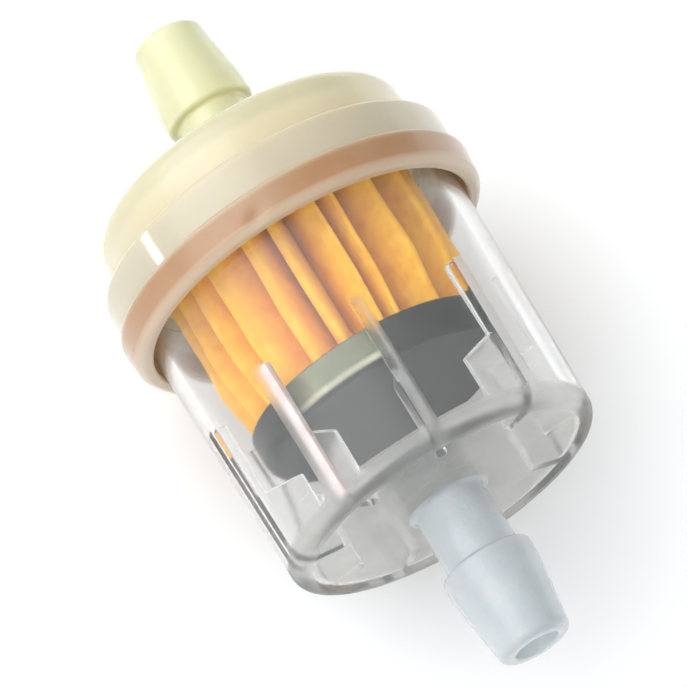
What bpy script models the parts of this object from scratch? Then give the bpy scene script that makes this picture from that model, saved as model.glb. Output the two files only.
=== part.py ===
"""Small inline fuel filter for a petrol engine hose, built piece by piece.

The filter lies with its axis on X. +X points out of the clear bowl's hose nozzle and -X out
of the cap's. The origin is halfway between the two nozzle tips, on the axis.

Each turned piece is drawn as a closed outline of (radius, station) points in millimetres. A
station is the distance along the axis from the cap nozzle's tip. The outline runs down the
outer side, from the bowl end to the cap end, and back up the inner side.
"""

import math

import bmesh
import bpy

MM = 0.001
SEGMENTS = 48
MERGE = 0.000001

# Driving dimensions, in millimetres
LENGTH = 55.0
NOZZLE_LENGTH = 12.5
BORE_R = 1.7
GAP = 0.3

# Hose nozzle: one tapered barb with a square shoulder behind it
TIP_R = 2.85
TIP_ROUND = 0.65
BARB_R = 3.52
BARB_TAPER = 5.75
BARB_LAND = 1.55
SHOULDER_ROUND = 0.3
NECK_R = 2.82
ROOT_FILLET = 0.4

# Cap: a drum, a wider band and a lip that reaches over the bowl's rim
DRUM_R = 12.65
DRUM_HEIGHT = 4.5
DRUM_ROUND = 1.35
BAND_R = 14.1
BAND_HEIGHT = 3.1
LIP_R = 14.55
LIP_HEIGHT = 2.65
LIP_ROUND = 1.1
LIP_BORE_R = 13.26
CAP_ROOF = 1.35
CAP_BORE_R = 11.3
SEAT_STATION = 18.2
SPIGOT_R = 3.1
SPIGOT_END = 18.3

# Bowl: a clear cup with a slight draft, and stepped fins inside
BOWL_TOP_R = 12.96
BOWL_FOOT_R = 12.38
BOWL_WALL = 1.1
BOWL_FLOOR = 1.2
FOOT_ROUND = 1.09
INNER_FOOT_ROUND = 0.8
COLLAR_R = 13.2
COLLAR_HEIGHT = 0.65
FIN_COUNT = 9
FIN_THICKNESS = 0.85
FIN_TOP = 30.1
FIN_UPPER_R = 11.0
FIN_LEDGE = 36.0
FIN_LOWER_R = 8.2
FIN_BURIED = 0.55
FIRST_FIN_ANGLE = math.radians(183.6)

# Filter element
PLEATS = 22
PLEAT_OUTER_R = 9.1
PLEAT_INNER_R = 5.4
PAPER_THICKNESS = 0.4
PAPER_TOP = 18.9
PAPER_END = 32.2
POINTS_PER_PLEAT = 8
CUP_R = 9.9
CUP_TOP = 31.7
CUP_END = 34.3
CUP_SHEET = 0.35
CUP_ROUND = 0.9
PLATE_R = 10.4
PLATE_TOP = 16.6
PLATE_SHEET = 0.8
PLATE_SKIRT_END = 19.4
PLATE_COLLAR_R = 5.3
PLATE_COLLAR_BORE_R = 4.6
PLATE_COLLAR_TOP = 14.2
ADHESIVE_DEPTH = 0.75
SEAL_R = 3.85
SEAL_SECTION_R = 0.42
SEAL_STATION = 15.5
CLIP_ANGLE = math.radians(20.0)
CLIP_SHEET = 0.3
CLIP_DEPTH = 1.5
CLIP_START = 19.8
CLIP_END = 31.3

# Stations that follow from the driving dimensions
CAP_FACE = NOZZLE_LENGTH
DRUM_END = CAP_FACE + DRUM_HEIGHT
BAND_END = DRUM_END + BAND_HEIGHT
LIP_END = BAND_END + LIP_HEIGHT
FLOOR_FACE = LENGTH - NOZZLE_LENGTH
FLOOR_INSIDE = FLOOR_FACE - BOWL_FLOOR
COLLAR_START = LIP_END + GAP
COLLAR_END = COLLAR_START + COLLAR_HEIGHT
BOWL_RIM = SEAT_STATION + GAP


def clear_scene():
    for thing in list(bpy.data.objects):
        bpy.data.objects.remove(thing, do_unlink=True)


def new_collection(name):
    group = bpy.data.collections.new(name)
    bpy.context.scene.collection.children.link(group)
    return group


def material(name, colour, roughness, metallic=0.0, transmission=0.0):
    made = bpy.data.materials.new(name)
    made.use_nodes = True
    shader = made.node_tree.nodes["Principled BSDF"]
    shader.inputs["Base Color"].default_value = (*colour, 1.0)
    shader.inputs["Roughness"].default_value = roughness
    shader.inputs["Metallic"].default_value = metallic
    shader.inputs["Transmission Weight"].default_value = transmission
    made.diffuse_color = (*colour, 1.0 - 0.6 * transmission)
    return made


def arc(radius, station, bend, start, end, steps=4):
    """Points on a quarter bend about (radius, station), angles in degrees from outwards."""
    points = []
    for step in range(steps + 1):
        angle = math.radians(start + (end - start) * step / steps)
        points.append((radius + bend * math.cos(angle), station + bend * math.sin(angle)))
    return points


def nozzle_outline(towards_bowl_end):
    """The nozzle's outer side from its bore edge at the tip to its root on the housing."""
    barb_end = BARB_TAPER + BARB_LAND
    flat = [(BORE_R, 0.0)]
    tip = arc(TIP_R - TIP_ROUND, TIP_ROUND, TIP_ROUND, -90, 0)
    crest = [(BARB_R, BARB_TAPER)]
    shoulder = arc(BARB_R - SHOULDER_ROUND, barb_end - SHOULDER_ROUND, SHOULDER_ROUND, 0, 90, 2)
    neck = [(NECK_R, barb_end)]
    root = arc(NECK_R + ROOT_FILLET, NOZZLE_LENGTH - ROOT_FILLET, ROOT_FILLET, 180, 90, 3)
    outline = flat + tip + crest + shoulder + neck + root
    if towards_bowl_end:
        return [(radius, LENGTH - depth) for radius, depth in outline]
    return outline[::-1]


def mesh_object(name, mesh, look, group):
    mesh.materials.append(look)
    thing = bpy.data.objects.new(name, mesh)
    group.objects.link(thing)
    thing.rotation_euler = (0.0, math.pi / 2, 0.0)
    return thing


def turned(name, outline, look, group):
    """A piece turned about the axis from one closed outline."""
    mesh = bpy.data.meshes.new(name)
    bm = bmesh.new()
    corners = [
        bm.verts.new((radius * MM, 0.0, (station - LENGTH / 2) * MM)) for radius, station in outline
    ]
    for here, following in zip(corners, corners[1:] + corners[:1]):
        bm.edges.new((here, following))
    bm.to_mesh(mesh)
    bm.free()
    thing = mesh_object(name, mesh, look, group)
    screw = thing.modifiers.new("turn", "SCREW")
    screw.steps = SEGMENTS
    screw.render_steps = SEGMENTS
    screw.use_merge_vertices = True
    screw.merge_threshold = MERGE
    screw.use_smooth_shade = True
    return thing


def extruded(name, rings, start, end, look, group):
    """A piece of constant section between two stations. Each ring is a list of (x, y)."""
    mesh = bpy.data.meshes.new(name)
    bm = bmesh.new()
    loops = []
    for ring in rings:
        loops.append([bm.verts.new((x * MM, y * MM, (start - LENGTH / 2) * MM)) for x, y in ring])
    if len(loops) == 1:
        faces = [bm.faces.new(loops[0])]
    else:
        inner, outer = loops
        count = len(inner)
        faces = []
        for i in range(count):
            j = (i + 1) % count
            faces.append(bm.faces.new((inner[i], inner[j], outer[j], outer[i])))
    grown = bmesh.ops.extrude_face_region(bm, geom=faces, use_keep_orig=True)
    moved = [item for item in grown["geom"] if isinstance(item, bmesh.types.BMVert)]
    bmesh.ops.translate(bm, verts=moved, vec=(0.0, 0.0, (end - start) * MM))
    bmesh.ops.recalc_face_normals(bm, faces=bm.faces)
    bm.to_mesh(mesh)
    bm.free()
    return mesh_object(name, mesh, look, group)


def cap_outline():
    rim = [(LIP_BORE_R, LIP_END)]
    lip = arc(LIP_R - LIP_ROUND, LIP_END - LIP_ROUND, LIP_ROUND, 90, 0) + [(LIP_R, BAND_END)]
    band = [(BAND_R, BAND_END), (BAND_R, DRUM_END)]
    drum = [(DRUM_R, DRUM_END)]
    drum += arc(DRUM_R - DRUM_ROUND, CAP_FACE + DRUM_ROUND, DRUM_ROUND, 0, -90)
    nozzle = nozzle_outline(False)
    spigot = [(BORE_R, SPIGOT_END), (SPIGOT_R, SPIGOT_END), (SPIGOT_R, CAP_FACE + CAP_ROOF)]
    roof = arc(CAP_BORE_R - DRUM_ROUND, CAP_FACE + CAP_ROOF + DRUM_ROUND, DRUM_ROUND, -90, 0, 3)
    seat = [(CAP_BORE_R, SEAT_STATION), (LIP_BORE_R, SEAT_STATION)]
    return rim + lip + band + drum + nozzle + spigot + roof + seat


def bowl_outline():
    nozzle = nozzle_outline(True)
    foot = arc(BOWL_FOOT_R - FOOT_ROUND, FLOOR_FACE - FOOT_ROUND, FOOT_ROUND, 90, 0)
    collar = [
        (BOWL_TOP_R, COLLAR_END + COLLAR_R - BOWL_TOP_R),
        (COLLAR_R, COLLAR_END),
        (COLLAR_R, COLLAR_START),
        (BOWL_TOP_R, COLLAR_START),
    ]
    rim = [(BOWL_TOP_R, BOWL_RIM), (BOWL_TOP_R - BOWL_WALL, BOWL_RIM)]
    inner_foot_r = BOWL_FOOT_R - BOWL_WALL - INNER_FOOT_ROUND
    inner = [(BOWL_TOP_R - BOWL_WALL, COLLAR_END)]
    inner += arc(inner_foot_r, FLOOR_INSIDE - INNER_FOOT_ROUND, INNER_FOOT_ROUND, 0, 90)
    mouth = [(BORE_R + ROOT_FILLET, FLOOR_INSIDE), (BORE_R, FLOOR_INSIDE + ROOT_FILLET)]
    return nozzle + foot + collar + rim + inner + mouth


def fin_outline():
    """A fin's side, stepped so that its ledge stops the element's closed end."""
    wall_r = BOWL_TOP_R - FIN_BURIED - GAP
    foot_r = BOWL_FOOT_R - FIN_BURIED
    foot_end = FLOOR_INSIDE + FIN_BURIED
    return [
        (wall_r, FIN_TOP),
        (FIN_UPPER_R, FIN_TOP),
        (FIN_UPPER_R, FIN_LEDGE),
        (FIN_LOWER_R, FIN_LEDGE),
        (FIN_LOWER_R, foot_end),
        (foot_r, foot_end),
    ]


def fins(group):
    """All the fins as one cutter object: flat outlines thickened and set round the axis."""
    mesh = bpy.data.meshes.new("bowl_fins")
    bm = bmesh.new()
    for fin in range(FIN_COUNT):
        angle = FIRST_FIN_ANGLE + fin * math.tau / FIN_COUNT
        out = (math.cos(angle), math.sin(angle))
        half = FIN_THICKNESS / 2
        corners = []
        for radius, station in fin_outline():
            x = radius * out[0] + half * out[1]
            y = radius * out[1] - half * out[0]
            corners.append(bm.verts.new((x * MM, y * MM, (station - LENGTH / 2) * MM)))
        side = bm.faces.new(corners)
        grown = bmesh.ops.extrude_face_region(bm, geom=[side], use_keep_orig=True)
        moved = [item for item in grown["geom"] if isinstance(item, bmesh.types.BMVert)]
        shift = (-FIN_THICKNESS * out[1] * MM, FIN_THICKNESS * out[0] * MM, 0.0)
        bmesh.ops.translate(bm, verts=moved, vec=shift)
    bmesh.ops.recalc_face_normals(bm, faces=bm.faces)
    bm.to_mesh(mesh)
    bm.free()
    thing = bpy.data.objects.new("bowl_fins", mesh)
    group.objects.link(thing)
    thing.rotation_euler = (0.0, math.pi / 2, 0.0)
    thing.hide_render = True
    thing.display_type = "WIRE"
    return thing


def bowl(look, group, cutters):
    thing = turned("clear_bowl", bowl_outline(), look, group)
    union = thing.modifiers.new("fins", "BOOLEAN")
    union.operation = "UNION"
    union.solver = "EXACT"
    union.object = fins(cutters)
    return thing


def pleat_centre(turn):
    """Middle of the paper at a share of one full turn: a cosine wave about a mean circle."""
    mean = (PLEAT_OUTER_R + PLEAT_INNER_R) / 2
    swing = (PLEAT_OUTER_R - PLEAT_INNER_R - PAPER_THICKNESS) / 2
    radius = mean + swing * math.cos(turn * PLEATS * math.tau)
    angle = CLIP_ANGLE + turn * math.tau
    return radius * math.cos(angle), radius * math.sin(angle)


def pleat_ring(side):
    """The paper's face on one side: the middle line moved half a thickness along its normal."""
    count = PLEATS * POINTS_PER_PLEAT
    step = 0.25 / count
    ring = []
    for point in range(count):
        turn = point / count
        x, y = pleat_centre(turn)
        before = pleat_centre(turn - step)
        after = pleat_centre(turn + step)
        along = (after[0] - before[0], after[1] - before[1])
        reach = side * PAPER_THICKNESS / 2 / math.hypot(*along)
        ring.append((x + along[1] * reach, y - along[0] * reach))
    return ring


def pleated_paper(look, group):
    rings = [pleat_ring(-1), pleat_ring(1)]
    return extruded("pleated_paper", rings, PAPER_TOP, PAPER_END, look, group)


def seam_clip(look, group):
    """A folded strip that pinches the pleat where the paper's two ends meet."""
    crest = PLEAT_OUTER_R + GAP + CLIP_SHEET
    root = crest - CLIP_DEPTH
    inner_half = PAPER_THICKNESS / 2 + GAP + 0.45
    outer_half = inner_half + CLIP_SHEET
    side = [
        (root, outer_half),
        (root, inner_half),
        (crest - CLIP_SHEET, inner_half),
        (crest - CLIP_SHEET, -inner_half),
        (root, -inner_half),
        (root, -outer_half),
        (crest, -outer_half),
        (crest, outer_half),
    ]
    turn = (math.cos(CLIP_ANGLE), math.sin(CLIP_ANGLE))
    ring = [(r * turn[0] - across * turn[1], r * turn[1] + across * turn[0]) for r, across in side]
    return extruded("pleat_seam_clip", [ring], CLIP_START, CLIP_END, look, group)


def closed_end_cup(look, group):
    bend = CUP_ROUND - CUP_SHEET
    outside = [(0.0, CUP_END)]
    outside += arc(CUP_R - CUP_ROUND, CUP_END - CUP_ROUND, CUP_ROUND, 90, 0) + [(CUP_R, CUP_TOP)]
    inside = [(CUP_R - CUP_SHEET, CUP_TOP)]
    inside += arc(CUP_R - CUP_ROUND, CUP_END - CUP_ROUND, bend, 0, 90) + [(0.0, CUP_END - CUP_SHEET)]
    return turned_solid("closed_end_cup", outside + inside, look, group)


def turned_solid(name, outline, look, group):
    """A turned piece whose outline starts and ends on the axis, so it is left open there."""
    thing = turned(name, outline, look, group)
    bm = bmesh.new()
    bm.from_mesh(thing.data)
    on_axis = [edge for edge in bm.edges if all(abs(vert.co.x) < MERGE for vert in edge.verts)]
    bmesh.ops.delete(bm, geom=on_axis, context="EDGES_FACES")
    bm.to_mesh(thing.data)
    bm.free()
    return thing


def closed_end_adhesive(look, group):
    """The bed that the pleats' closed end stands in, a shade thicker in the middle."""
    floor = CUP_END - CUP_SHEET - GAP
    top = floor - ADHESIVE_DEPTH
    edge = CUP_R - CUP_SHEET - GAP
    bevel = CUP_ROUND - CUP_SHEET
    outline = [
        (0.0, floor),
        (edge - bevel, floor),
        (edge, floor - bevel),
        (edge, top),
        (PLEAT_INNER_R - 1.0, top),
        (PLEAT_INNER_R - 1.8, top - 0.5),
        (0.0, top - 0.7),
    ]
    return turned_solid("closed_end_adhesive", outline, look, group)


def open_end_plate(look, group):
    """The ring on the pleats' open end: a short skirt outside and a seal collar inside."""
    face = PLATE_TOP + PLATE_SHEET
    outline = [
        (PLATE_R, PLATE_SKIRT_END),
        (PLATE_R, PLATE_TOP + 0.3),
        (PLATE_R - 0.3, PLATE_TOP),
        (PLATE_COLLAR_R, PLATE_TOP),
        (PLATE_COLLAR_R, PLATE_COLLAR_TOP),
        (PLATE_COLLAR_BORE_R, PLATE_COLLAR_TOP),
        (PLATE_COLLAR_BORE_R, face),
        (PLATE_R - PLATE_SHEET, face),
        (PLATE_R - PLATE_SHEET, PLATE_SKIRT_END),
    ]
    return turned("open_end_plate", outline, look, group)


def open_end_adhesive(look, group):
    start = PLATE_TOP + PLATE_SHEET + GAP
    end = PAPER_TOP - GAP
    outside = PLATE_R - PLATE_SHEET - GAP
    outline = [(outside, end), (outside, start), (PLATE_COLLAR_BORE_R, start), (PLATE_COLLAR_BORE_R, end)]
    return turned("open_end_adhesive", outline, look, group)


def element_seal(look, group):
    outline = arc(SEAL_R, SEAL_STATION, SEAL_SECTION_R, 90, -270, 10)[:-1]
    return turned("element_seal", outline, look, group)


def main():
    clear_scene()
    pieces = new_collection("fuel_filter")
    cutters = new_collection("cutters")
    cream = material("cap_plastic", (0.86, 0.80, 0.58), 0.38, transmission=0.2)
    clear = material("bowl_plastic", (0.93, 0.95, 0.96), 0.12, transmission=0.9)
    paper = material("filter_paper", (0.90, 0.50, 0.10), 0.85)
    steel = material("cup_steel", (0.16, 0.18, 0.18), 0.42, metallic=0.8)
    glue = material("adhesive", (0.78, 0.66, 0.40), 0.5)
    ring = material("plate_plastic", (0.80, 0.74, 0.56), 0.45)
    rubber = material("seal_rubber", (0.03, 0.03, 0.03), 0.6)
    strip = material("clip_metal", (0.62, 0.62, 0.60), 0.35, metallic=1.0)

    turned("cap", cap_outline(), cream, pieces)
    bowl(clear, pieces, cutters)
    pleated_paper(paper, pieces)
    seam_clip(strip, pieces)
    closed_end_cup(steel, pieces)
    closed_end_adhesive(glue, pieces)
    open_end_plate(ring, pieces)
    open_end_adhesive(glue, pieces)
    element_seal(rubber, pieces)


main()
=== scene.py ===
"""Looks of the inline fuel filter: fine turned mouldings, pleated paper and a stamped steel cup.

The filter's axis is X. Sizes are in millimetres; a station is the distance along the axis from
the cap nozzle's tip, and an angle about the axis is measured from +Z towards +Y. Turned pieces
repeat the CAD's outlines with their small radii, and everything is placed from the CAD's boxes.
"""

import math

import bmesh
import bpy
import numpy as np
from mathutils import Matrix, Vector


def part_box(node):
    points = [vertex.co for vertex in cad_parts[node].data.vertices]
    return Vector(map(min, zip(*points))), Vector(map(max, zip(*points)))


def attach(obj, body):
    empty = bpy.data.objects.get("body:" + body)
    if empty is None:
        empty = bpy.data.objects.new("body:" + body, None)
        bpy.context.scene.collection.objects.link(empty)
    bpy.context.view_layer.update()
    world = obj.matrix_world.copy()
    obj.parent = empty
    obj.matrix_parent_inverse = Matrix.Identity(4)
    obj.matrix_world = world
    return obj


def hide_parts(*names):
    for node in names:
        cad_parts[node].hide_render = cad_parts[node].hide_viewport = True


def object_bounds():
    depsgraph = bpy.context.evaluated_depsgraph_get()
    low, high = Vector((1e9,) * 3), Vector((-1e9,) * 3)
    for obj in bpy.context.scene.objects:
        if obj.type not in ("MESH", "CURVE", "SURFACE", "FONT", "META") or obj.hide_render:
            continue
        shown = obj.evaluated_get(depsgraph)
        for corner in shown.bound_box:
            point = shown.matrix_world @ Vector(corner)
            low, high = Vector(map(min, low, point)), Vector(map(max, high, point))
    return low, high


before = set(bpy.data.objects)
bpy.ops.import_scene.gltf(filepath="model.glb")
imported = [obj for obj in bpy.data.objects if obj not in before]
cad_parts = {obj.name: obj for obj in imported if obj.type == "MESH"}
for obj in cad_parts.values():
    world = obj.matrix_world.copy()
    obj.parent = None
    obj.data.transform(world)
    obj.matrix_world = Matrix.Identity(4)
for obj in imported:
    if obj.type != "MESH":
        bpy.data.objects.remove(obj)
CAD_BOX = [list(corner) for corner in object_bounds()]

MM = 0.001
START_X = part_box("cap")[0][0]
LENGTH = (CAD_BOX[1][0] - CAD_BOX[0][0]) / MM
NOZZLE_LENGTH = 12.5
BORE_R = 1.7

# Hose nozzle
TIP_R = 2.85
TIP_ROUND = 0.65
BARB_R = 3.52
BARB_TAPER = 5.75
BARB_LAND = 1.55
SHOULDER_ROUND = 0.32
NECK_R = 2.82
ROOT_FILLET = 0.45

# Cap
CAP_FACE = NOZZLE_LENGTH
DRUM_R = 12.65
DRUM_END = 17.0
DRUM_ROUND = 1.35
DRUM_DRAFT = 0.1
BAND_R = 14.1
BAND_END = 20.1
LIP_R = -CAD_BOX[0][2] / MM
LIP_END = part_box("cap")[1][0] / MM + LENGTH / 2
LIP_ROUND = 0.5
LIP_DRAFT = 0.16
LIP_BORE_R = 13.12
EDGE_ROUND = 0.22
CAP_ROOF = 1.35
CAP_BORE_R = 11.3
SEAT_STATION = 18.35
SPIGOT_R = 3.1
SPIGOT_END = 18.3

# Bowl
BOWL_RIM = 18.5
BOWL_TOP_R = 12.96
BOWL_FOOT_R = 12.38
BOWL_WALL = 1.1
BOWL_FLOOR = 1.2
FLOOR_FACE = LENGTH - NOZZLE_LENGTH
FOOT_ROUND = 1.09
INNER_FOOT_ROUND = 0.8
FINS = 9
FIN_THICKNESS = 0.85
FIN_EDGE = 0.2
FIN_TOP = 30.1
FIN_UPPER_R = 11.0
FIN_LEDGE = 36.0
FIN_LOWER_R = 8.2
FIN_BURIED = 0.6
# Size of the thin strip that carries one fin's painted highlight
LIT_STRIP_PROUD = 0.04
LIT_STRIP_OUTER_TOP_R = 11.7
LIT_STRIP_OUTER_FOOT_R = 11.4
LIT_STRIP_NARROWER = 0.08
LIT_STRIP_EDGE = 0.1
FIRST_FIN = math.radians(-3.6)

# Filter element
PLEATS = 22
PAPER_THICKNESS = 0.32
PAPER_TOP = 18.8
PAPER_END = 32.3
PLEAT_INNER_R = 5.6
PLEAT_OUTER_R = 9.95
PLEAT_CUP_R = 9.33
CUP_R = 9.9
CUP_TOP = 31.7
CUP_END = 34.3
CUP_SHEET = 0.32
CUP_ROUND = 0.85
PLATE_R = 10.4
PLATE_TOP = 16.6
PLATE_SHEET = 0.8
PLATE_SKIRT_END = 19.4
PLATE_COLLAR_R = 5.3
PLATE_COLLAR_BORE_R = 4.45
PLATE_COLLAR_TOP = 14.2
SEAL_R = 3.78
SEAL_SECTION_R = 0.6
SEAL_STATION = 15.5

# Viewpoint: the bearing is from +X towards -Y
VIEW_ELEVATION = math.radians(66.30)
VIEW_BEARING = math.radians(29.33)
VIEW_DISTANCE = 0.29563
VIEW_RIGHT = -0.00014
VIEW_UP = -0.00074
VIEW_LENS = 213.77

DOME_DARK = 0.5
DOME_BRIGHT = 1.3
KEY_DIRECTION = (-0.35, -0.56, 0.75)
KEY_STRENGTH = 1.8
WINDOW_DIRECTION = (-0.40, -0.936, 0.05)
WINDOW_DISTANCE = 0.5
WINDOW_WIDTH = 0.015
WINDOW_HEIGHT = 0.05
WINDOW_POWER = 0.05

TURN_STEPS = 168


# ---------------------------------------------------------------- outlines

def arc(radius, station, bend, start, end, steps=8):
    """Points at a fixed distance, bend, from (radius, station), from one angle to another."""
    angle = np.radians(np.linspace(start, end, steps + 1))
    return np.column_stack([radius + bend * np.cos(angle), station + bend * np.sin(angle)])


def filled(outline, spacing, hold=0.06):
    """The outline with points added along its straight runs, and one close to each end of a run.

    A run longer than the spacing is cut into equal steps; its end points get a close neighbour,
    so that smooth shading keeps the run straight."""
    outline = np.asarray(outline, float)
    pieces = []
    for here, there in zip(outline[:-1], outline[1:]):
        run = float(np.hypot(*(there - here)))
        if run <= spacing * 0.6:
            share = np.array([0.0])
        else:
            share = np.linspace(0.0, 1.0, max(2, math.ceil(run / spacing)) + 1)[:-1]
            share = np.unique(np.concatenate([share, [hold / run, 1.0 - hold / run]]))
        pieces.append(here + (there - here) * share[:, None])
    return np.vstack(pieces + [outline[-1:]])


def nozzle_outline(towards_bowl_end):
    """The hose nozzle's side: bore edge, rounded tip, taper, land, square shoulder, neck, root."""
    barb_end = BARB_TAPER + BARB_LAND
    outline = np.vstack([
        arc(BORE_R + 0.18, 0.18, 0.18, 180, 270, 4),
        arc(TIP_R - TIP_ROUND, TIP_ROUND, TIP_ROUND, -90, 6),
        arc(BARB_R - 2.0, BARB_TAPER, 2.0, -6, 0, 3),
        arc(BARB_R - SHOULDER_ROUND, barb_end - SHOULDER_ROUND, SHOULDER_ROUND, 0, 90, 6),
        arc(NECK_R + 0.2, barb_end + 0.2, 0.2, 270, 180, 4),
        arc(NECK_R + ROOT_FILLET, NOZZLE_LENGTH - ROOT_FILLET, ROOT_FILLET, 180, 90, 6),
    ])
    if towards_bowl_end:
        return np.column_stack([outline[:, 0], LENGTH - outline[:, 1]])
    return outline[::-1]


def cap_outline():
    """Down the cap's outer side from its lip to the nozzle's tip, and up inside to its seat."""
    edge = EDGE_ROUND
    return np.vstack([
        arc(LIP_BORE_R + edge, LIP_END - edge, edge, 180, 90, 4),
        arc(LIP_R - LIP_DRAFT - 0.75, LIP_END - LIP_ROUND - 0.12, LIP_ROUND + 0.12, 80, 40, 4),
        arc(LIP_R - LIP_DRAFT - LIP_ROUND, LIP_END - LIP_ROUND - 0.2, LIP_ROUND, 40, 3, 6),
        arc(LIP_R - edge, BAND_END + edge, edge, 0, -90, 4),
        arc(BAND_R + 0.12, BAND_END - 0.12, 0.12, 90, 180, 3),
        arc(BAND_R - 0.3, DRUM_END + 0.3, 0.3, 0, -90, 5),
        arc(DRUM_R + 0.2, DRUM_END - 0.2, 0.2, 90, 180, 4),
        arc(DRUM_R - DRUM_DRAFT - DRUM_ROUND, CAP_FACE + DRUM_ROUND, DRUM_ROUND, -3, -90, 10),
        nozzle_outline(False),
        [(BORE_R, SPIGOT_END - 0.1), (BORE_R + 0.1, SPIGOT_END)],
        [(SPIGOT_R - 0.15, SPIGOT_END), (SPIGOT_R, SPIGOT_END - 0.15)],
        arc(SPIGOT_R + 0.3, CAP_FACE + CAP_ROOF + 0.3, 0.3, 180, 270, 4),
        arc(CAP_BORE_R - DRUM_ROUND, CAP_FACE + CAP_ROOF + DRUM_ROUND, DRUM_ROUND, -90, 0, 8),
        [(CAP_BORE_R, SEAT_STATION), (LIP_BORE_R, SEAT_STATION)],
        [(LIP_BORE_R, LIP_END - edge)],
    ])


def bowl_outline():
    """Across the bowl's floor from its hole, up the outer side to the rim, and down inside."""
    inner_foot_r = BOWL_FOOT_R - BOWL_WALL - INNER_FOOT_ROUND
    return np.vstack([
        [(BORE_R, FLOOR_FACE)],
        arc(BOWL_FOOT_R - FOOT_ROUND, FLOOR_FACE - FOOT_ROUND, FOOT_ROUND, 90, 0, 12),
        arc(BOWL_TOP_R - 0.2, BOWL_RIM + 0.2, 0.2, 0, -90, 3),
        arc(BOWL_TOP_R - BOWL_WALL + 0.2, BOWL_RIM + 0.2, 0.2, 270, 180, 3),
        arc(inner_foot_r, FLOOR_FACE - BOWL_FLOOR - INNER_FOOT_ROUND, INNER_FOOT_ROUND, 0, 90),
        arc(BORE_R + 0.35, FLOOR_FACE - BOWL_FLOOR + 0.35, 0.35, 270, 180, 5),
        [(BORE_R, FLOOR_FACE)],
    ])


def bowl_nozzle_outline():
    """The bowl's nozzle from its tip to its root, let into the floor's face, and its bore."""
    root = FLOOR_FACE - 0.05
    return np.vstack([
        nozzle_outline(True),
        [(NECK_R + ROOT_FILLET, root), (BORE_R, root), (BORE_R, LENGTH - 0.18)],
    ])


# ---------------------------------------------------------------- meshes

def mesh_piece(name, corners, faces):
    """An object from arrays of corners (in metres) and faces, turned inside out if it has to be."""
    mesh = bpy.data.meshes.new(name)
    mesh.from_pydata(corners, [], faces)
    bm = bmesh.new()
    bm.from_mesh(mesh)
    if bm.calc_volume(signed=True) < 0:
        bmesh.ops.reverse_faces(bm, faces=bm.faces)
    bm.to_mesh(mesh)
    bm.free()
    mesh.shade_smooth()
    mesh.set_sharp_from_angle(angle=math.radians(32))
    piece = bpy.data.objects.new(name, mesh)
    bpy.context.scene.collection.objects.link(piece)
    return piece


def around(radius, station, angle):
    """Points in metres at a radius, a station and an angle about the axis."""
    return np.stack([
        START_X + station * MM + 0 * angle,
        radius * MM * np.sin(angle),
        radius * MM * np.cos(angle),
    ], axis=-1)


def grid_faces(rows, columns, close_rows, close_columns):
    """Four-cornered faces over a grid of points, joined round in either direction."""
    last_row = rows if close_rows else rows - 1
    last_column = columns if close_columns else columns - 1
    r, c = np.meshgrid(np.arange(last_row), np.arange(last_column), indexing="ij")
    r2, c2 = (r + 1) % rows, (c + 1) % columns
    corners = [r * columns + c, r * columns + c2, r2 * columns + c2, r2 * columns + c]
    return np.stack(corners, axis=-1).reshape(-1, 4)


def turned(name, outline, spacing=0.5, steps=TURN_STEPS, wave=None):
    """A closed outline carried round the axis: a ring of points for each step of the turn.

    Where the outline starts and ends on the axis, each end ring is a single point. wave gives a
    small change of radius from the radius, station and angle."""
    outline = filled(outline, spacing)
    solid = outline[0, 0] < 1e-9 and outline[-1, 0] < 1e-9
    if solid:
        outline = outline[1:-1]
    elif np.hypot(*(outline[0] - outline[-1])) < 1e-6:
        outline = outline[:-1]
    angle = np.linspace(0.0, math.tau, steps, endpoint=False)[None, :]
    radius = outline[:, 0:1] + 0 * angle
    station = outline[:, 1:2] + 0 * angle
    if wave is not None:
        radius = radius + wave(radius, station, angle)
    corners = around(radius, station, angle + 0 * radius).reshape(-1, 3)
    rows = len(outline)
    faces = grid_faces(rows, steps, not solid, True).tolist()
    if solid:
        ends = around(np.zeros(2), outline[[0, -1], 1], np.zeros(2))
        corners = np.vstack([corners, ends])
        first, last = rows * steps, rows * steps + 1
        for i in range(steps):
            j = (i + 1) % steps
            faces.append((first, j, i))
            faces.append((last, (rows - 1) * steps + i, (rows - 1) * steps + j))
    return mesh_piece(name, corners, faces)


def joined(piece, tool, operation):
    """The piece with the tool's solid joined to it or cut from it, as one plain mesh."""
    boolean = piece.modifiers.new("join", "BOOLEAN")
    boolean.operation = operation
    boolean.solver = "EXACT"
    boolean.object = tool
    evaluated = piece.evaluated_get(bpy.context.evaluated_depsgraph_get())
    mesh = bpy.data.meshes.new_from_object(evaluated)
    piece.modifiers.clear()
    piece.data = mesh
    mesh.shade_smooth()
    mesh.set_sharp_from_angle(angle=math.radians(32))
    bpy.data.objects.remove(tool, do_unlink=True)
    return piece


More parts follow.
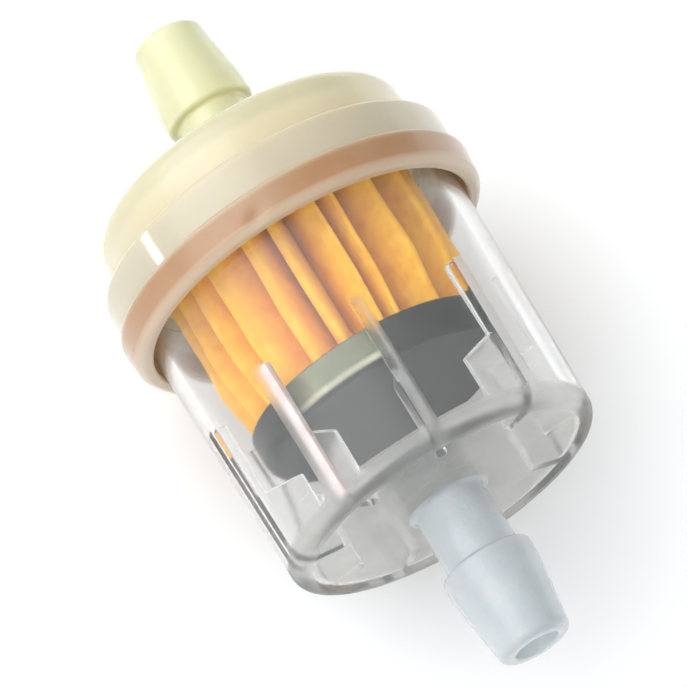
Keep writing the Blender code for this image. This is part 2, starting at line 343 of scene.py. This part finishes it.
def standing(name, outline, turns, thickness, edge):
    """Flat outlines of (radius, station) points, thickened evenly about the plane at each turn.

    The points lie in a half plane through the axis, and both faces are that half plane moved
    half the thickness to either side. The edges are slightly rounded."""
    bm = bmesh.new()
    for angle in turns:
        out = Vector((0.0, math.sin(angle), math.cos(angle)))
        across = Vector((0.0, math.cos(angle), -math.sin(angle))) * thickness * MM
        along = Vector((1.0, 0.0, 0.0))
        base = Vector((START_X, 0.0, 0.0)) - across / 2
        corners = [bm.verts.new(base + out * r * MM + along * s * MM) for r, s in outline]
        side = bm.faces.new(corners)
        grown = bmesh.ops.extrude_face_region(bm, geom=[side], use_keep_orig=True)
        moved = [item for item in grown["geom"] if isinstance(item, bmesh.types.BMVert)]
        bmesh.ops.translate(bm, verts=moved, vec=across)
    bmesh.ops.recalc_face_normals(bm, faces=bm.faces)
    bmesh.ops.bevel(
        bm, geom=list(bm.edges), offset=edge * MM, segments=2, profile=0.5,
        affect="EDGES", clamp_overlap=True,
    )
    mesh = bpy.data.meshes.new(name)
    bm.to_mesh(mesh)
    bm.free()
    mesh.shade_smooth()
    mesh.set_sharp_from_angle(angle=math.radians(32))
    piece = bpy.data.objects.new(name, mesh)
    bpy.context.scene.collection.objects.link(piece)
    return piece


def fins():
    """The bowl's fins: a narrow rib above and a wider gusset below the ledge."""
    foot_end = FLOOR_FACE - BOWL_FLOOR / 2
    outline = [
        (BOWL_TOP_R - FIN_BURIED - 0.15, FIN_TOP),
        (FIN_UPPER_R, FIN_TOP),
        (FIN_UPPER_R, FIN_LEDGE),
        (FIN_LOWER_R, FIN_LEDGE),
        (FIN_LOWER_R, foot_end),
        (BOWL_FOOT_R - FIN_BURIED, foot_end),
    ]
    turns = [FIRST_FIN + fin * math.tau / FINS for fin in range(FINS)]
    return standing("fins", outline, turns, FIN_THICKNESS, FIN_EDGE)


# ---------------------------------------------------------------- the pieces

def gate_mark(radius, station, angle):
    """A shallow round dimple low on the lip's side: a smooth bowl-shaped fall in the radius."""
    across = (angle - math.radians(-16.9) + math.pi) % math.tau - math.pi
    far = np.hypot(across * LIP_R / 0.75, (station - (LIP_END - 0.75)) / 0.7)
    near_skin = (radius > LIP_BORE_R + 0.6) & (station > BAND_END + 0.3)
    return -0.22 * np.clip(1.0 - far**4, 0.0, 1.0) * near_skin


def cap():
    return turned("cap_moulding", cap_outline(), wave=gate_mark)


def bowl():
    return joined(turned("bowl_moulding", bowl_outline()), fins(), "UNION")


def bowl_nozzle():
    return turned("bowl_nozzle", bowl_nozzle_outline(), spacing=0.35, steps=120)


def painted_light_rib():
    """One fin's painted highlight: a flat pale strip along its inner edge, rounded at its four
    corners, standing for light piped along the fin.
    """
    inner = FIN_UPPER_R - LIT_STRIP_PROUD
    top = FIN_TOP - LIT_STRIP_PROUD
    foot = FLOOR_FACE - BOWL_FLOOR - 0.05
    outline = [(LIT_STRIP_OUTER_TOP_R, top), (inner, top), (inner, foot), (LIT_STRIP_OUTER_FOOT_R, foot)]
    turn = FIRST_FIN - math.tau / FINS
    return standing("painted_light_rib", outline, [turn], FIN_THICKNESS - LIT_STRIP_NARROWER, LIT_STRIP_EDGE)


# Uneven folding, in degrees about the axis: each pleat's valley, then its crest, and how many
# tenths of a millimetre the crest falls short
FOLDS = (
    (-53.1, -49.1, 1), (-34.6, -28.1, 0), (-19.6, -15.1, 1), (-8.6, 3.4, 0), (7.9, 13.4, 4),
    (19.4, 31.4, 0), (42.9, 54.0, 0), (61.5, 74.0, 0), (81.0, 89.0, 0), (95.0, 101.0, 0),
    (109.5, 118.0, 3), (126.0, 132.0, 0), (142.0, 151.5, 1), (159.0, 165.0, 0),
    (175.5, 184.0, 0), (192.0, 197.5, 3), (208.5, 217.0, 0), (224.5, 231.0, 1),
    (241.0, 250.0, 0), (257.5, 263.0, 0), (274.0, 281.0, 2), (290.5, 299.5, 0),
)


def pleat_middle(turn, length):
    """Middle of the paper at a share of one full turn and of the length.

    The radius swings between the valleys and the crests as a cosine with flattened crests; the
    angle runs evenly from each valley to its crest and on to the next valley. The crests narrow
    to fit the cup at one end, and both wander slightly along the length."""
    folds = np.array(FOLDS)
    knots = np.append(folds[:, :2].ravel(), folds[0, 0] + 360.0)
    phase = (turn * PLEATS) % PLEATS
    angle = np.interp(phase * 2, np.arange(len(knots)), knots)
    height = (1.0 - np.cos(phase * math.tau)) / 2
    height = 1.0 - (1.0 - height)**1.35
    pleat = np.floor(phase)
    fall = folds[pleat.astype(int) % PLEATS, 2] / 10
    outer = PLEAT_CUP_R + (PLEAT_OUTER_R - PLEAT_CUP_R) * np.clip((0.93 - length) / 0.3, 0, 1)
    sway = 0.06 * np.sin(3.1 * length * math.pi + 1.7 * pleat) * np.sin(length * math.pi)
    radius = PLEAT_INNER_R + (outer - fall + sway - PLEAT_INNER_R) * height
    angle = np.radians(angle + 0.9 * np.sin(2.3 * pleat + 2.4 * length) * length * height)
    return radius * np.sin(angle), radius * np.cos(angle)


def pleated_paper():
    """The paper's two faces, half a thickness either side of its middle along the normal.

    The grid runs round the pleats in one direction and along the axis in the other; the two
    faces are joined at both ends of the paper."""
    round_steps = PLEATS * 24
    long_steps = 28
    turn = (np.arange(round_steps) / round_steps)[None, :]
    length = np.linspace(0.0, 1.0, long_steps)[:, None]
    turn, length = np.broadcast_arrays(turn, length)
    reach = 0.2 / round_steps
    y, z = pleat_middle(turn, length)
    y1, z1 = pleat_middle(turn + reach, length)
    y0, z0 = pleat_middle(turn - reach, length)
    along = np.stack([y1 - y0, z1 - z0], axis=-1)
    along /= np.linalg.norm(along, axis=-1, keepdims=True)
    out = np.stack([along[..., 1], -along[..., 0]], axis=-1) * PAPER_THICKNESS / 2
    x = START_X + (PAPER_TOP + (PAPER_END - PAPER_TOP) * length) * MM
    sheets = []
    for side in (1, -1):
        sheets.append(np.stack([
            x, (y + side * out[..., 0]) * MM, (z + side * out[..., 1]) * MM,
        ], axis=-1))
    outer, inner = sheets
    corners = np.concatenate([outer, inner[::-1]]).reshape(-1, 3)
    faces = grid_faces(2 * long_steps, round_steps, True, True)
    return mesh_piece("pleated_paper_pack", corners, faces.tolist())


def closed_end_cup():
    """Stamped cup: a flat bottom, a bent corner and a short skirt with a rolled-over edge."""
    bend = CUP_ROUND - CUP_SHEET
    mid = CUP_SHEET / 2
    outline = np.vstack([
        [(0.0, CUP_END), (CUP_R - CUP_ROUND, CUP_END)],
        arc(CUP_R - CUP_ROUND, CUP_END - CUP_ROUND, CUP_ROUND, 90, 0, 8),
        arc(CUP_R - mid, CUP_TOP + mid, mid, 0, -180, 6),
        arc(CUP_R - CUP_ROUND, CUP_END - CUP_ROUND, bend, 0, 90, 6),
        [(0.0, CUP_END - CUP_SHEET)],
    ])
    return turned("closed_end_cup_pressing", outline, spacing=0.45)


def closed_end_adhesive():
    """Bed of adhesive under the pleats, domed in the core, with an uneven edge at the skirt."""
    floor = CUP_END - CUP_SHEET - 0.08
    top = PAPER_END + 0.1
    edge = CUP_R - CUP_SHEET - 0.08
    bevel = CUP_ROUND - CUP_SHEET
    outline = np.vstack([
        [(0.0, floor), (edge - bevel, floor)],
        arc(edge - bevel, floor - bevel, bevel, 90, 0, 5),
        [(edge, top + 0.1), (edge - 0.25, top)],
        [(PLEAT_INNER_R - 0.6, top), (PLEAT_INNER_R - 1.4, top - 0.45), (0.0, top - 0.7)],
    ])
    return turned("closed_end_adhesive_bed", outline, steps=96)


def open_end_plate():
    """Ring with an outer skirt round the pleats and an inner collar for the seal."""
    face = PLATE_TOP + PLATE_SHEET
    outline = np.vstack([
        arc(PLATE_R - 0.15, PLATE_SKIRT_END - 0.15, 0.15, 90, 0, 3),
        arc(PLATE_R - 0.4, PLATE_TOP + 0.4, 0.4, 0, -90, 5),
        arc(PLATE_COLLAR_R + 0.3, PLATE_TOP - 0.3, 0.3, 90, 180, 4),
        arc(PLATE_COLLAR_R - 0.15, PLATE_COLLAR_TOP + 0.15, 0.15, 0, -90, 3),
        [(PLATE_COLLAR_BORE_R, PLATE_COLLAR_TOP), (PLATE_COLLAR_BORE_R, face)],
        [(PLATE_R - PLATE_SHEET, face), (PLATE_R - PLATE_SHEET, PLATE_SKIRT_END)],
        [(PLATE_R - 0.15, PLATE_SKIRT_END)],
    ])
    return turned("open_end_plate_moulding", outline, steps=96)


def open_end_adhesive():
    """Bed of adhesive in the plate round the pleats' open end, with soft meniscus edges."""
    start = PLATE_TOP + PLATE_SHEET + 0.08
    end = PAPER_TOP - 0.1
    outside = PLATE_R - PLATE_SHEET - 0.08
    inside = PLATE_COLLAR_BORE_R + 0.1
    outline = np.vstack([
        arc(outside - 0.2, end + 0.1, 0.2, 60, 0, 3),
        [(outside, start), (inside, start)],
        arc(inside + 0.2, end + 0.1, 0.2, 180, 120, 3),
        [(inside + 0.5, end), (outside - 0.5, end)],
        arc(outside - 0.2, end + 0.1, 0.2, 60, 60, 0),
    ])
    return turned("open_end_adhesive_bed", outline, steps=96)


def element_seal():
    """Round-section rubber ring squeezed a little flat between the spigot and the collar."""
    ring = arc(0.0, 0.0, 1.0, 90, -270, 24)
    ring = np.column_stack([
        SEAL_R + 0.97 * SEAL_SECTION_R * ring[:, 0],
        SEAL_STATION + 1.08 * SEAL_SECTION_R * ring[:, 1],
    ])
    return turned("element_seal_ring", ring, steps=96)


def seam_clip():
    """A folded strip: the CAD's U section with its edges rounded."""
    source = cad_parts["pleat_seam_clip"]
    mesh = source.data.copy()
    mesh.materials.clear()
    bm = bmesh.new()
    bm.from_mesh(mesh)
    bmesh.ops.remove_doubles(bm, verts=bm.verts, dist=0.00001)
    bmesh.ops.dissolve_limit(bm, angle_limit=0.02, verts=bm.verts, edges=bm.edges)
    bmesh.ops.bevel(
        bm, geom=list(bm.edges), offset=0.1 * MM, segments=2, profile=0.5, affect="EDGES",
        clamp_overlap=True,
    )
    bm.to_mesh(mesh)
    bm.free()
    mesh.shade_smooth()
    mesh.set_sharp_from_angle(angle=math.radians(40))
    piece = bpy.data.objects.new("pleat_seam_strip", mesh)
    bpy.context.scene.collection.objects.link(piece)
    return piece


# ---------------------------------------------------------------- materials

class Finish:
    """A material under construction, with short calls for the nodes that the finishes share."""

    def __init__(self, name):
        self.material = bpy.data.materials.new(name)
        self.material.use_nodes = True
        self.tree = self.material.node_tree
        self.shader = self.tree.nodes["Principled BSDF"]
        self.output = self.tree.nodes["Material Output"]
        self.place = self.node("ShaderNodeTexCoord").outputs["Object"]

    def node(self, kind, **settings):
        made = self.tree.nodes.new(kind)
        for key, value in settings.items():
            setattr(made, key, value)
        return made

    def link(self, source, target):
        self.tree.links.new(source, target)

    def set(self, **values):
        for key, value in values.items():
            self.shader.inputs[key.replace("_", " ")].default_value = value

    def scaled(self, scale, offset=(0.0, 0.0, 0.0)):
        mapping = self.node("ShaderNodeMapping")
        mapping.inputs["Scale"].default_value = scale
        mapping.inputs["Location"].default_value = offset
        self.link(self.place, mapping.inputs["Vector"])
        return mapping.outputs["Vector"]

    def noise(self, scale, detail=3.0, roughness=0.5, vector=None, distortion=0.0):
        made = self.node("ShaderNodeTexNoise")
        made.inputs["Scale"].default_value = scale
        made.inputs["Detail"].default_value = detail
        made.inputs["Roughness"].default_value = roughness
        made.inputs["Distortion"].default_value = distortion
        self.link(vector if vector is not None else self.place, made.inputs["Vector"])
        return made.outputs["Fac"]

    def ramp(self, source, stops):
        """Colours or grey values at places from 0 to 1."""
        made = self.node("ShaderNodeValToRGB")
        elements = made.color_ramp.elements
        while len(elements) < len(stops):
            elements.new(0.5)
        for element, (place, colour) in zip(elements, stops):
            element.position = place
            if isinstance(colour, (int, float)):
                colour = (colour, colour, colour)
            element.color = (*colour, 1.0)
        self.link(source, made.inputs["Fac"])
        return made.outputs["Color"]

    def span(self, source, low, high, to_low=0.0, to_high=1.0):
        made = self.node("ShaderNodeMapRange")
        made.inputs["From Min"].default_value = low
        made.inputs["From Max"].default_value = high
        made.inputs["To Min"].default_value = to_low
        made.inputs["To Max"].default_value = to_high
        self.link(source, made.inputs["Value"])
        return made.outputs["Result"]

    def maths(self, operation, *values):
        made = self.node("ShaderNodeMath", operation=operation)
        for value, socket in zip(values, made.inputs):
            if isinstance(value, (int, float)):
                socket.default_value = value
            else:
                self.link(value, socket)
        return made.outputs["Value"]

    def axes(self):
        split = self.node("ShaderNodeSeparateXYZ")
        self.link(self.place, split.inputs["Vector"])
        return split.outputs

    def station(self, low, high):
        """0 to 1 between two stations along the axis."""
        return self.span(self.axes()["X"], START_X + low * MM, START_X + high * MM)

    def distance(self):
        """Distance from the axis, in metres."""
        x, y, z = self.axes()
        squares = self.maths("ADD", self.maths("POWER", y, 2.0), self.maths("POWER", z, 2.0))
        return self.maths("SQRT", squares)

    def radius(self, low, high):
        """0 to 1 between two distances from the axis."""
        return self.span(self.distance(), low * MM, high * MM)

    def turn(self, middle):
        """Angle about the axis from a middle angle, either way, in radians."""
        x, y, z = self.axes()
        angle = self.maths("SUBTRACT", self.maths("ARCTAN2", y, z), middle)
        return self.maths("ABSOLUTE", self.maths("WRAP", angle, math.pi, -math.pi))

    def over_fins(self):
        """1 on a fin's faces, and 0 between the fins."""
        x, y, z = self.axes()
        half_step = math.pi / FINS
        angle = self.maths("SUBTRACT", self.maths("ARCTAN2", y, z), FIRST_FIN)
        beside = self.maths("ABSOLUTE", self.maths("WRAP", angle, half_step, -half_step))
        away = self.maths("MULTIPLY", beside, self.distance())
        half = FIN_THICKNESS / 2 * MM
        return self.span(away, half * 1.24, half * 1.05)

    def mixed(self, share, first, second, blend="MIX"):
        made = self.node("ShaderNodeMix", data_type="RGBA", blend_type=blend)
        for value, name in ((share, "Factor"), (first, "A"), (second, "B")):
            socket = next(s for s in made.inputs if s.name == name and s.enabled)
            if isinstance(value, (int, float)):
                socket.default_value = value
            elif isinstance(value, tuple):
                socket.default_value = (*value, 1.0)
            else:
                self.link(value, socket)
        return next(s for s in made.outputs if s.enabled)

    def bump(self, height, strength, distance, normal=None):
        made = self.node("ShaderNodeBump")
        made.inputs["Strength"].default_value = strength
        made.inputs["Distance"].default_value = distance
        self.link(height, made.inputs["Height"])
        if normal is not None:
            self.link(normal, made.inputs["Normal"])
        return made.outputs["Normal"]

    def lets_lamps_through(self, tint):
        """Lamps shine through the wall on to what is behind it, dimmed by the tint."""
        path = self.node("ShaderNodeLightPath")
        open_air = self.node("ShaderNodeBsdfTransparent")
        open_air.inputs["Color"].default_value = (*tint, 1.0)
        mix = self.node("ShaderNodeMixShader")
        self.link(path.outputs["Is Shadow Ray"], mix.inputs["Fac"])
        self.link(self.shader.outputs["BSDF"], mix.inputs[1])
        self.link(open_air.outputs["BSDF"], mix.inputs[2])
        self.link(mix.outputs["Shader"], self.output.inputs["Surface"])


def cap_plastic():
    """Cream nylon, milky and partly see-through; the paper's orange glowing through the lip is
    painted into its colour.
    """
    f = Finish("cap_nylon")
    along = f.station(0.0, LIP_END)
    # The peach band on the lip (0.905 to 0.965) is painted light: the paper's orange glow through the
    # lip is put into the colour.
    tint = f.ramp(along, [
        (0.0, (0.78, 0.79, 0.52)),
        (0.5, (0.78, 0.78, 0.51)),
        (0.6, (0.80, 0.755, 0.52)),
        (0.74, (0.78, 0.70, 0.50)),
        (0.775, (0.66, 0.61, 0.47)),
        (0.88, (0.64, 0.58, 0.44)),
        (0.905, (0.48, 0.24, 0.095)),
        (0.965, (0.50, 0.26, 0.105)),
        (0.985, (0.72, 0.58, 0.43)),
    ])
    cloud = f.noise(220.0, 5.0, 0.6)
    tint = f.mixed(f.span(cloud, 0.4, 0.75, 0.0, 0.22), tint, (0.62, 0.53, 0.35))
    f.link(tint, f.shader.inputs["Base Color"])
    f.set(Subsurface_Weight=0.5, Subsurface_Scale=0.0015, IOR=1.5, Coat_Weight=0.9)
    f.set(Coat_Roughness=0.1, Transmission_Weight=0.42)
    f.shader.inputs["Subsurface Radius"].default_value = (1.0, 0.75, 0.4)
    f.link(f.span(cloud, 0.3, 0.7, 0.34, 0.46), f.shader.inputs["Roughness"])
    swirl = f.noise(160.0, 3.0, distortion=0.4)
    skin = f.bump(swirl, 0.3, 0.0001)
    f.link(f.bump(f.noise(2600.0, 2.0), 0.1, 0.00003, skin), f.shader.inputs["Normal"])
    f.link(skin, f.shader.inputs["Coat Normal"])
    f.lets_lamps_through((0.78, 0.73, 0.62))
    return f.material


def bowl_plastic():
    """Clear moulding, glossy on its wall and hazy where it is thick.

    Roughness rises a little on the fins and the floor, and most round the foot."""
    f = Finish("bowl_clear")
    floor_zone = f.station(FLOOR_FACE - BOWL_FLOOR - 0.6, FLOOR_FACE - BOWL_FLOOR + 0.1)
    foot = f.maths("MULTIPLY", floor_zone, f.radius(10.6, 11.3))
    near_fins = f.maths("MULTIPLY", f.over_fins(), f.station(FIN_TOP - 0.1, FIN_TOP + 0.2))
    near_fins = f.maths("MULTIPLY", near_fins, f.radius(FIN_LOWER_R - 0.3, FIN_LOWER_R - 0.2))
    roots = f.maths("MULTIPLY", near_fins, f.radius(BOWL_FOOT_R - 1.0, BOWL_FOOT_R - 0.7))
    flow = f.noise(90.0, 3.0, distortion=0.6)
    rough = f.span(flow, 0.3, 0.7, 0.04, 0.09)
    for zone, amount in ((floor_zone, 0.2), (near_fins, 0.18), (foot, 0.5), (roots, 0.8)):
        rough = f.maths("MAXIMUM", rough, f.maths("MULTIPLY", zone, amount))
    f.link(rough, f.shader.inputs["Roughness"])
    # Across the floor the colour darkens to a mottled grey: the mottling is moulding marks, the
    # darkening is painted shade for the shadow seen through the floor.
    marks = f.ramp(f.noise(450.0, 4.0, 0.6), [(0.4, (0.72, 0.72, 0.69)), (0.65, (0.82, 0.82, 0.79))])
    f.link(f.mixed(floor_zone, (0.90, 0.897, 0.89), marks), f.shader.inputs["Base Color"])
    f.set(Transmission_Weight=0.97, IOR=1.3)
    gentle = f.bump(flow, 0.25, 0.00008)
    f.link(f.bump(f.noise(700.0, 3.0), 0.06, 0.00005, gentle), f.shader.inputs["Normal"])
    f.lets_lamps_through((0.93, 0.93, 0.93))
    return f.material


def frosted_nozzle():
    """The bowl's nozzle: the same plastic with a fine spark-eroded skin, cool grey and milky."""
    f = Finish("bowl_frosted")
    cloud = f.noise(260.0, 4.0, 0.6)
    tint = f.ramp(cloud, [(0.35, (0.56, 0.60, 0.62)), (0.7, (0.68, 0.71, 0.72))])
    f.link(tint, f.shader.inputs["Base Color"])
    f.set(Transmission_Weight=0.48, IOR=1.45, Subsurface_Weight=0.4, Subsurface_Scale=0.0012)
    f.set(Coat_Weight=1.0, Coat_Roughness=0.1)
    sparkle = f.noise(2300.0, 2.0, 0.6)
    f.link(f.span(cloud, 0.3, 0.7, 0.42, 0.55), f.shader.inputs["Roughness"])
    skin = f.bump(sparkle, 0.8, 0.00006)
    f.link(skin, f.shader.inputs["Normal"])
    f.link(skin, f.shader.inputs["Coat Normal"])
    f.lets_lamps_through((0.7, 0.72, 0.74))
    return f.material


def painted_light_plastic():
    """Painted highlight for one fin: pinkish white for light piped through the fin and the paper's
    orange reflected in it, with small dirty flecks.
    """
    f = Finish("bowl_painted_light")
    cloud = f.noise(500.0, 4.0, 0.6)
    flecks = f.noise(1500.0, 2.0, 0.5)
    tint = f.ramp(cloud, [(0.3, (0.68, 0.55, 0.52)), (0.7, (0.90, 0.82, 0.80))])
    tint = f.mixed(f.span(flecks, 0.68, 0.74, 0.0, 0.5), tint, (0.35, 0.25, 0.22))
    f.link(tint, f.shader.inputs["Base Color"])
    f.set(Transmission_Weight=0.12, Subsurface_Weight=0.4, Subsurface_Scale=0.0008)
    f.link(f.span(cloud, 0.3, 0.7, 0.3, 0.5), f.shader.inputs["Roughness"])
    f.link(f.bump(cloud, 0.3, 0.00006), f.shader.inputs["Normal"])
    f.lets_lamps_through((0.75, 0.7, 0.68))
    return f.material


def filter_paper():
    """Orange resin-treated paper: long fibres, mottling and darker soaked patches."""
    f = Finish("orange_paper")
    mottle = f.noise(650.0, 5.0, 0.7)
    fibres = f.noise(1.0, 4.0, 0.65, vector=f.scaled((900.0, 2600.0, 2600.0)))
    base = f.ramp(mottle, [
        (0.3, (0.84, 0.35, 0.004)),
        (0.5, (0.95, 0.46, 0.012)),
        (0.7, (1.0, 0.56, 0.04)),
    ])
    base = f.mixed(f.span(fibres, 0.35, 0.7, 0.0, 0.3), base, (0.98, 0.58, 0.09))
    f.link(base, f.shader.inputs["Base Color"])
    f.set(Roughness=0.85, Subsurface_Weight=0.35, Subsurface_Scale=0.0006)
    f.set(Subsurface_Radius=(1.0, 0.45, 0.12), Specular_IOR_Level=0.25)
    crepe = f.bump(fibres, 0.5, 0.00005)
    f.link(f.bump(mottle, 0.35, 0.00008, crepe), f.shader.inputs["Normal"])
    return f.material


def cup_steel():
    """Dull dark plated steel, with a painted highlight along its corner and on the lit side of its
    skirt.
    """
    f = Finish("dull_steel")
    patches = f.noise(260.0, 5.0, 0.62)
    base = f.ramp(patches, [(0.3, (0.012, 0.016, 0.018)), (0.7, (0.038, 0.043, 0.038))])
    # Painted highlight: the skirt and its corner line are lightened on the side facing the key light,
    # broken up by the patches.
    side = f.span(f.turn(math.radians(-23.0)), 0.42, 0.28)
    skirt = f.radius(CUP_R - 0.35, CUP_R - 0.15)
    corner = f.maths("MULTIPLY", skirt, f.station(CUP_END - 0.75, CUP_END - 0.45))
    painted_highlight = f.maths("MULTIPLY", side, f.span(patches, 0.35, 0.65, 0.55, 1.0))
    base = f.mixed(f.maths("MULTIPLY", skirt, painted_highlight), base, (0.22, 0.235, 0.15))
    base = f.mixed(f.maths("MULTIPLY", corner, painted_highlight), base, (0.75, 0.75, 0.55))
    f.link(base, f.shader.inputs["Base Color"])
    f.set(Metallic=0.75)
    f.link(f.span(patches, 0.3, 0.7, 0.34, 0.5), f.shader.inputs["Roughness"])
    f.link(f.bump(f.noise(300.0, 1.0), 0.25, 0.00008), f.shader.inputs["Normal"])
    return f.material


def adhesive():
    """Cured amber adhesive, glossy and a little cloudy."""
    f = Finish("amber_adhesive")
    cloud = f.noise(500.0, 4.0)
    tint = f.ramp(cloud, [(0.3, (0.55, 0.36, 0.12)), (0.7, (0.78, 0.60, 0.28))])
    f.link(tint, f.shader.inputs["Base Color"])
    f.set(Subsurface_Weight=0.4, Subsurface_Scale=0.001, Coat_Weight=0.2)
    f.link(f.span(cloud, 0.3, 0.7, 0.25, 0.45), f.shader.inputs["Roughness"])
    f.link(f.bump(cloud, 0.3, 0.0001), f.shader.inputs["Normal"])
    return f.material


def plate_plastic():
    """Pale moulded ring, satin, with faint flow marks."""
    f = Finish("plate_moulding")
    flow = f.noise(160.0, 4.0, distortion=0.5)
    tint = f.ramp(flow, [(0.3, (0.74, 0.66, 0.44)), (0.7, (0.82, 0.75, 0.55))])
    f.link(tint, f.shader.inputs["Base Color"])
    f.set(Subsurface_Weight=0.3, Subsurface_Scale=0.001)
    f.link(f.span(flow, 0.3, 0.7, 0.36, 0.5), f.shader.inputs["Roughness"])
    f.link(f.bump(f.noise(2200.0, 2.0), 0.15, 0.00003), f.shader.inputs["Normal"])
    return f.material


def seal_rubber():
    """Black rubber with a fine dusty bloom."""
    f = Finish("black_rubber")
    bloom = f.noise(900.0, 4.0, 0.6)
    tint = f.ramp(bloom, [(0.35, (0.012, 0.012, 0.013)), (0.75, (0.05, 0.05, 0.05))])
    f.link(tint, f.shader.inputs["Base Color"])
    f.link(f.span(bloom, 0.3, 0.7, 0.5, 0.75), f.shader.inputs["Roughness"])
    f.link(f.bump(bloom, 0.3, 0.00004), f.shader.inputs["Normal"])
    return f.material


def clip_metal():
    """Plain folded strip metal with rolling lines along it."""
    f = Finish("rolled_strip")
    lines = f.noise(1.0, 4.0, 0.6, vector=f.scaled((300.0, 6000.0, 6000.0)))
    tint = f.ramp(lines, [(0.3, (0.46, 0.46, 0.45)), (0.7, (0.66, 0.66, 0.64))])
    f.link(tint, f.shader.inputs["Base Color"])
    f.set(Metallic=1.0)
    f.link(f.span(lines, 0.3, 0.7, 0.25, 0.42), f.shader.inputs["Roughness"])
    f.link(f.bump(lines, 0.2, 0.00003), f.shader.inputs["Normal"])
    return f.material


def floor_finish():
    f = Finish("floor_paint")
    grain = f.noise(60.0, 4.0)
    f.link(f.ramp(grain, [(0.3, (0.93, 0.93, 0.925)), (0.7, (0.95, 0.95, 0.945))]),
           f.shader.inputs["Base Color"])
    f.set(Roughness=0.9, Specular_IOR_Level=0.1)
    return f.material


# ---------------------------------------------------------------- stage

def floor():
    """A pale sheet under the filter, which lies on the cap's lip."""
    half = 2.0
    level = CAD_BOX[0][2] - 0.0001
    corners = [(-half, -half, level), (half, -half, level), (half, half, level), (-half, half, level)]
    mesh = bpy.data.meshes.new("floor")
    mesh.from_pydata(corners, [], [(0, 1, 2, 3)])
    mesh.materials.append(floor_finish())
    sheet = bpy.data.objects.new("floor", mesh)
    bpy.context.scene.collection.objects.link(sheet)


def camera():
    """Looks down on the filter from beyond the bowl's end, level with no roll."""
    across = math.cos(VIEW_ELEVATION)
    back = Vector((
        across * math.cos(VIEW_BEARING), -across * math.sin(VIEW_BEARING), math.sin(VIEW_ELEVATION),
    ))
    turn = back.to_track_quat("Z", "Y")
    right = turn @ Vector((1.0, 0.0, 0.0))
    up = turn @ Vector((0.0, 1.0, 0.0))
    eye = bpy.data.cameras.new("camera")
    eye.lens = VIEW_LENS
    eye.sensor_width = 36.0
    eye.clip_start = 0.01
    thing = bpy.data.objects.new("camera", eye)
    thing.rotation_mode = "QUATERNION"
    thing.rotation_quaternion = turn
    thing.location = back * VIEW_DISTANCE + right * VIEW_RIGHT + up * VIEW_UP
    bpy.context.scene.collection.objects.link(thing)
    bpy.context.scene.camera = thing


def lamp(name, direction, distance, width, height, power):
    """An oblong soft lamp that looks at the filter from a direction."""
    light = bpy.data.lights.new(name, "AREA")
    light.shape = "RECTANGLE"
    light.size = width
    light.size_y = height
    light.energy = power
    thing = bpy.data.objects.new(name, light)
    bpy.context.scene.collection.objects.link(thing)
    out = Vector(direction).normalized()
    thing.location = out * distance
    thing.rotation_mode = "QUATERNION"
    thing.rotation_quaternion = out.to_track_quat("Z", "Y")


def lighting():
    """A pale dome, brighter from the -Y side and above, with a soft key spot and a window."""
    world = bpy.data.worlds.new("studio")
    world.use_nodes = True
    nodes, links = world.node_tree.nodes, world.node_tree.links
    direction = nodes.new("ShaderNodeTexCoord").outputs["Generated"]
    towards = nodes.new("ShaderNodeVectorMath")
    towards.operation = "DOT_PRODUCT"
    towards.inputs[1].default_value = (-0.15, -0.8, 0.55)
    links.new(direction, towards.inputs[0])
    shade = nodes.new("ShaderNodeMapRange")
    shade.interpolation_type = "SMOOTHSTEP"
    shade.inputs["From Min"].default_value = -0.9
    shade.inputs["From Max"].default_value = 0.95
    shade.inputs["To Min"].default_value = DOME_DARK
    shade.inputs["To Max"].default_value = DOME_BRIGHT
    links.new(towards.outputs["Value"], shade.inputs["Value"])
    facing = nodes.new("ShaderNodeVectorMath")
    facing.operation = "DOT_PRODUCT"
    facing.inputs[1].default_value = KEY_DIRECTION
    links.new(direction, facing.inputs[0])
    key = nodes.new("ShaderNodeMapRange")
    key.interpolation_type = "SMOOTHERSTEP"
    key.inputs["From Min"].default_value = 0.78
    key.inputs["To Max"].default_value = KEY_STRENGTH
    links.new(facing.outputs["Value"], key.inputs["Value"])
    total = nodes.new("ShaderNodeMath")
    links.new(shade.outputs["Result"], total.inputs[0])
    links.new(key.outputs["Result"], total.inputs[1])
    links.new(total.outputs["Value"], nodes["Background"].inputs["Strength"])
    nodes["Background"].inputs["Color"].default_value = (0.97, 0.985, 1.0, 1.0)
    bpy.context.scene.world = world
    lamp("window", WINDOW_DIRECTION, WINDOW_DISTANCE, WINDOW_WIDTH, WINDOW_HEIGHT, WINDOW_POWER)


def main():
    finishes = {
        "cap_plastic": cap_plastic(),
        "bowl_plastic": bowl_plastic(),
        "frosted": frosted_nozzle(),
        "rib_painted_light": painted_light_plastic(),
        "filter_paper": filter_paper(),
        "cup_steel": cup_steel(),
        "adhesive": adhesive(),
        "plate_plastic": plate_plastic(),
        "seal_rubber": seal_rubber(),
        "clip_metal": clip_metal(),
    }
    pieces = (
        (cap(), "cap", "cap_plastic"),
        (bowl(), "clear_bowl", "bowl_plastic"),
        (bowl_nozzle(), "clear_bowl", "frosted"),
        (painted_light_rib(), "clear_bowl", "rib_painted_light"),
        (pleated_paper(), "pleated_paper", "filter_paper"),
        (seam_clip(), "pleat_seam_clip", "clip_metal"),
        (closed_end_cup(), "closed_end_cup", "cup_steel"),
        (closed_end_adhesive(), "closed_end_adhesive", "adhesive"),
        (open_end_plate(), "open_end_plate", "plate_plastic"),
        (open_end_adhesive(), "open_end_adhesive", "adhesive"),
        (element_seal(), "element_seal", "seal_rubber"),
    )
    for piece, node, finish in pieces:
        piece.data.materials.clear()
        piece.data.materials.append(finishes[finish])
        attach(piece, "root")
        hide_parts(node)
    floor()
    camera()
    lighting()
    bpy.context.scene.view_settings.view_transform = "Standard"


main()
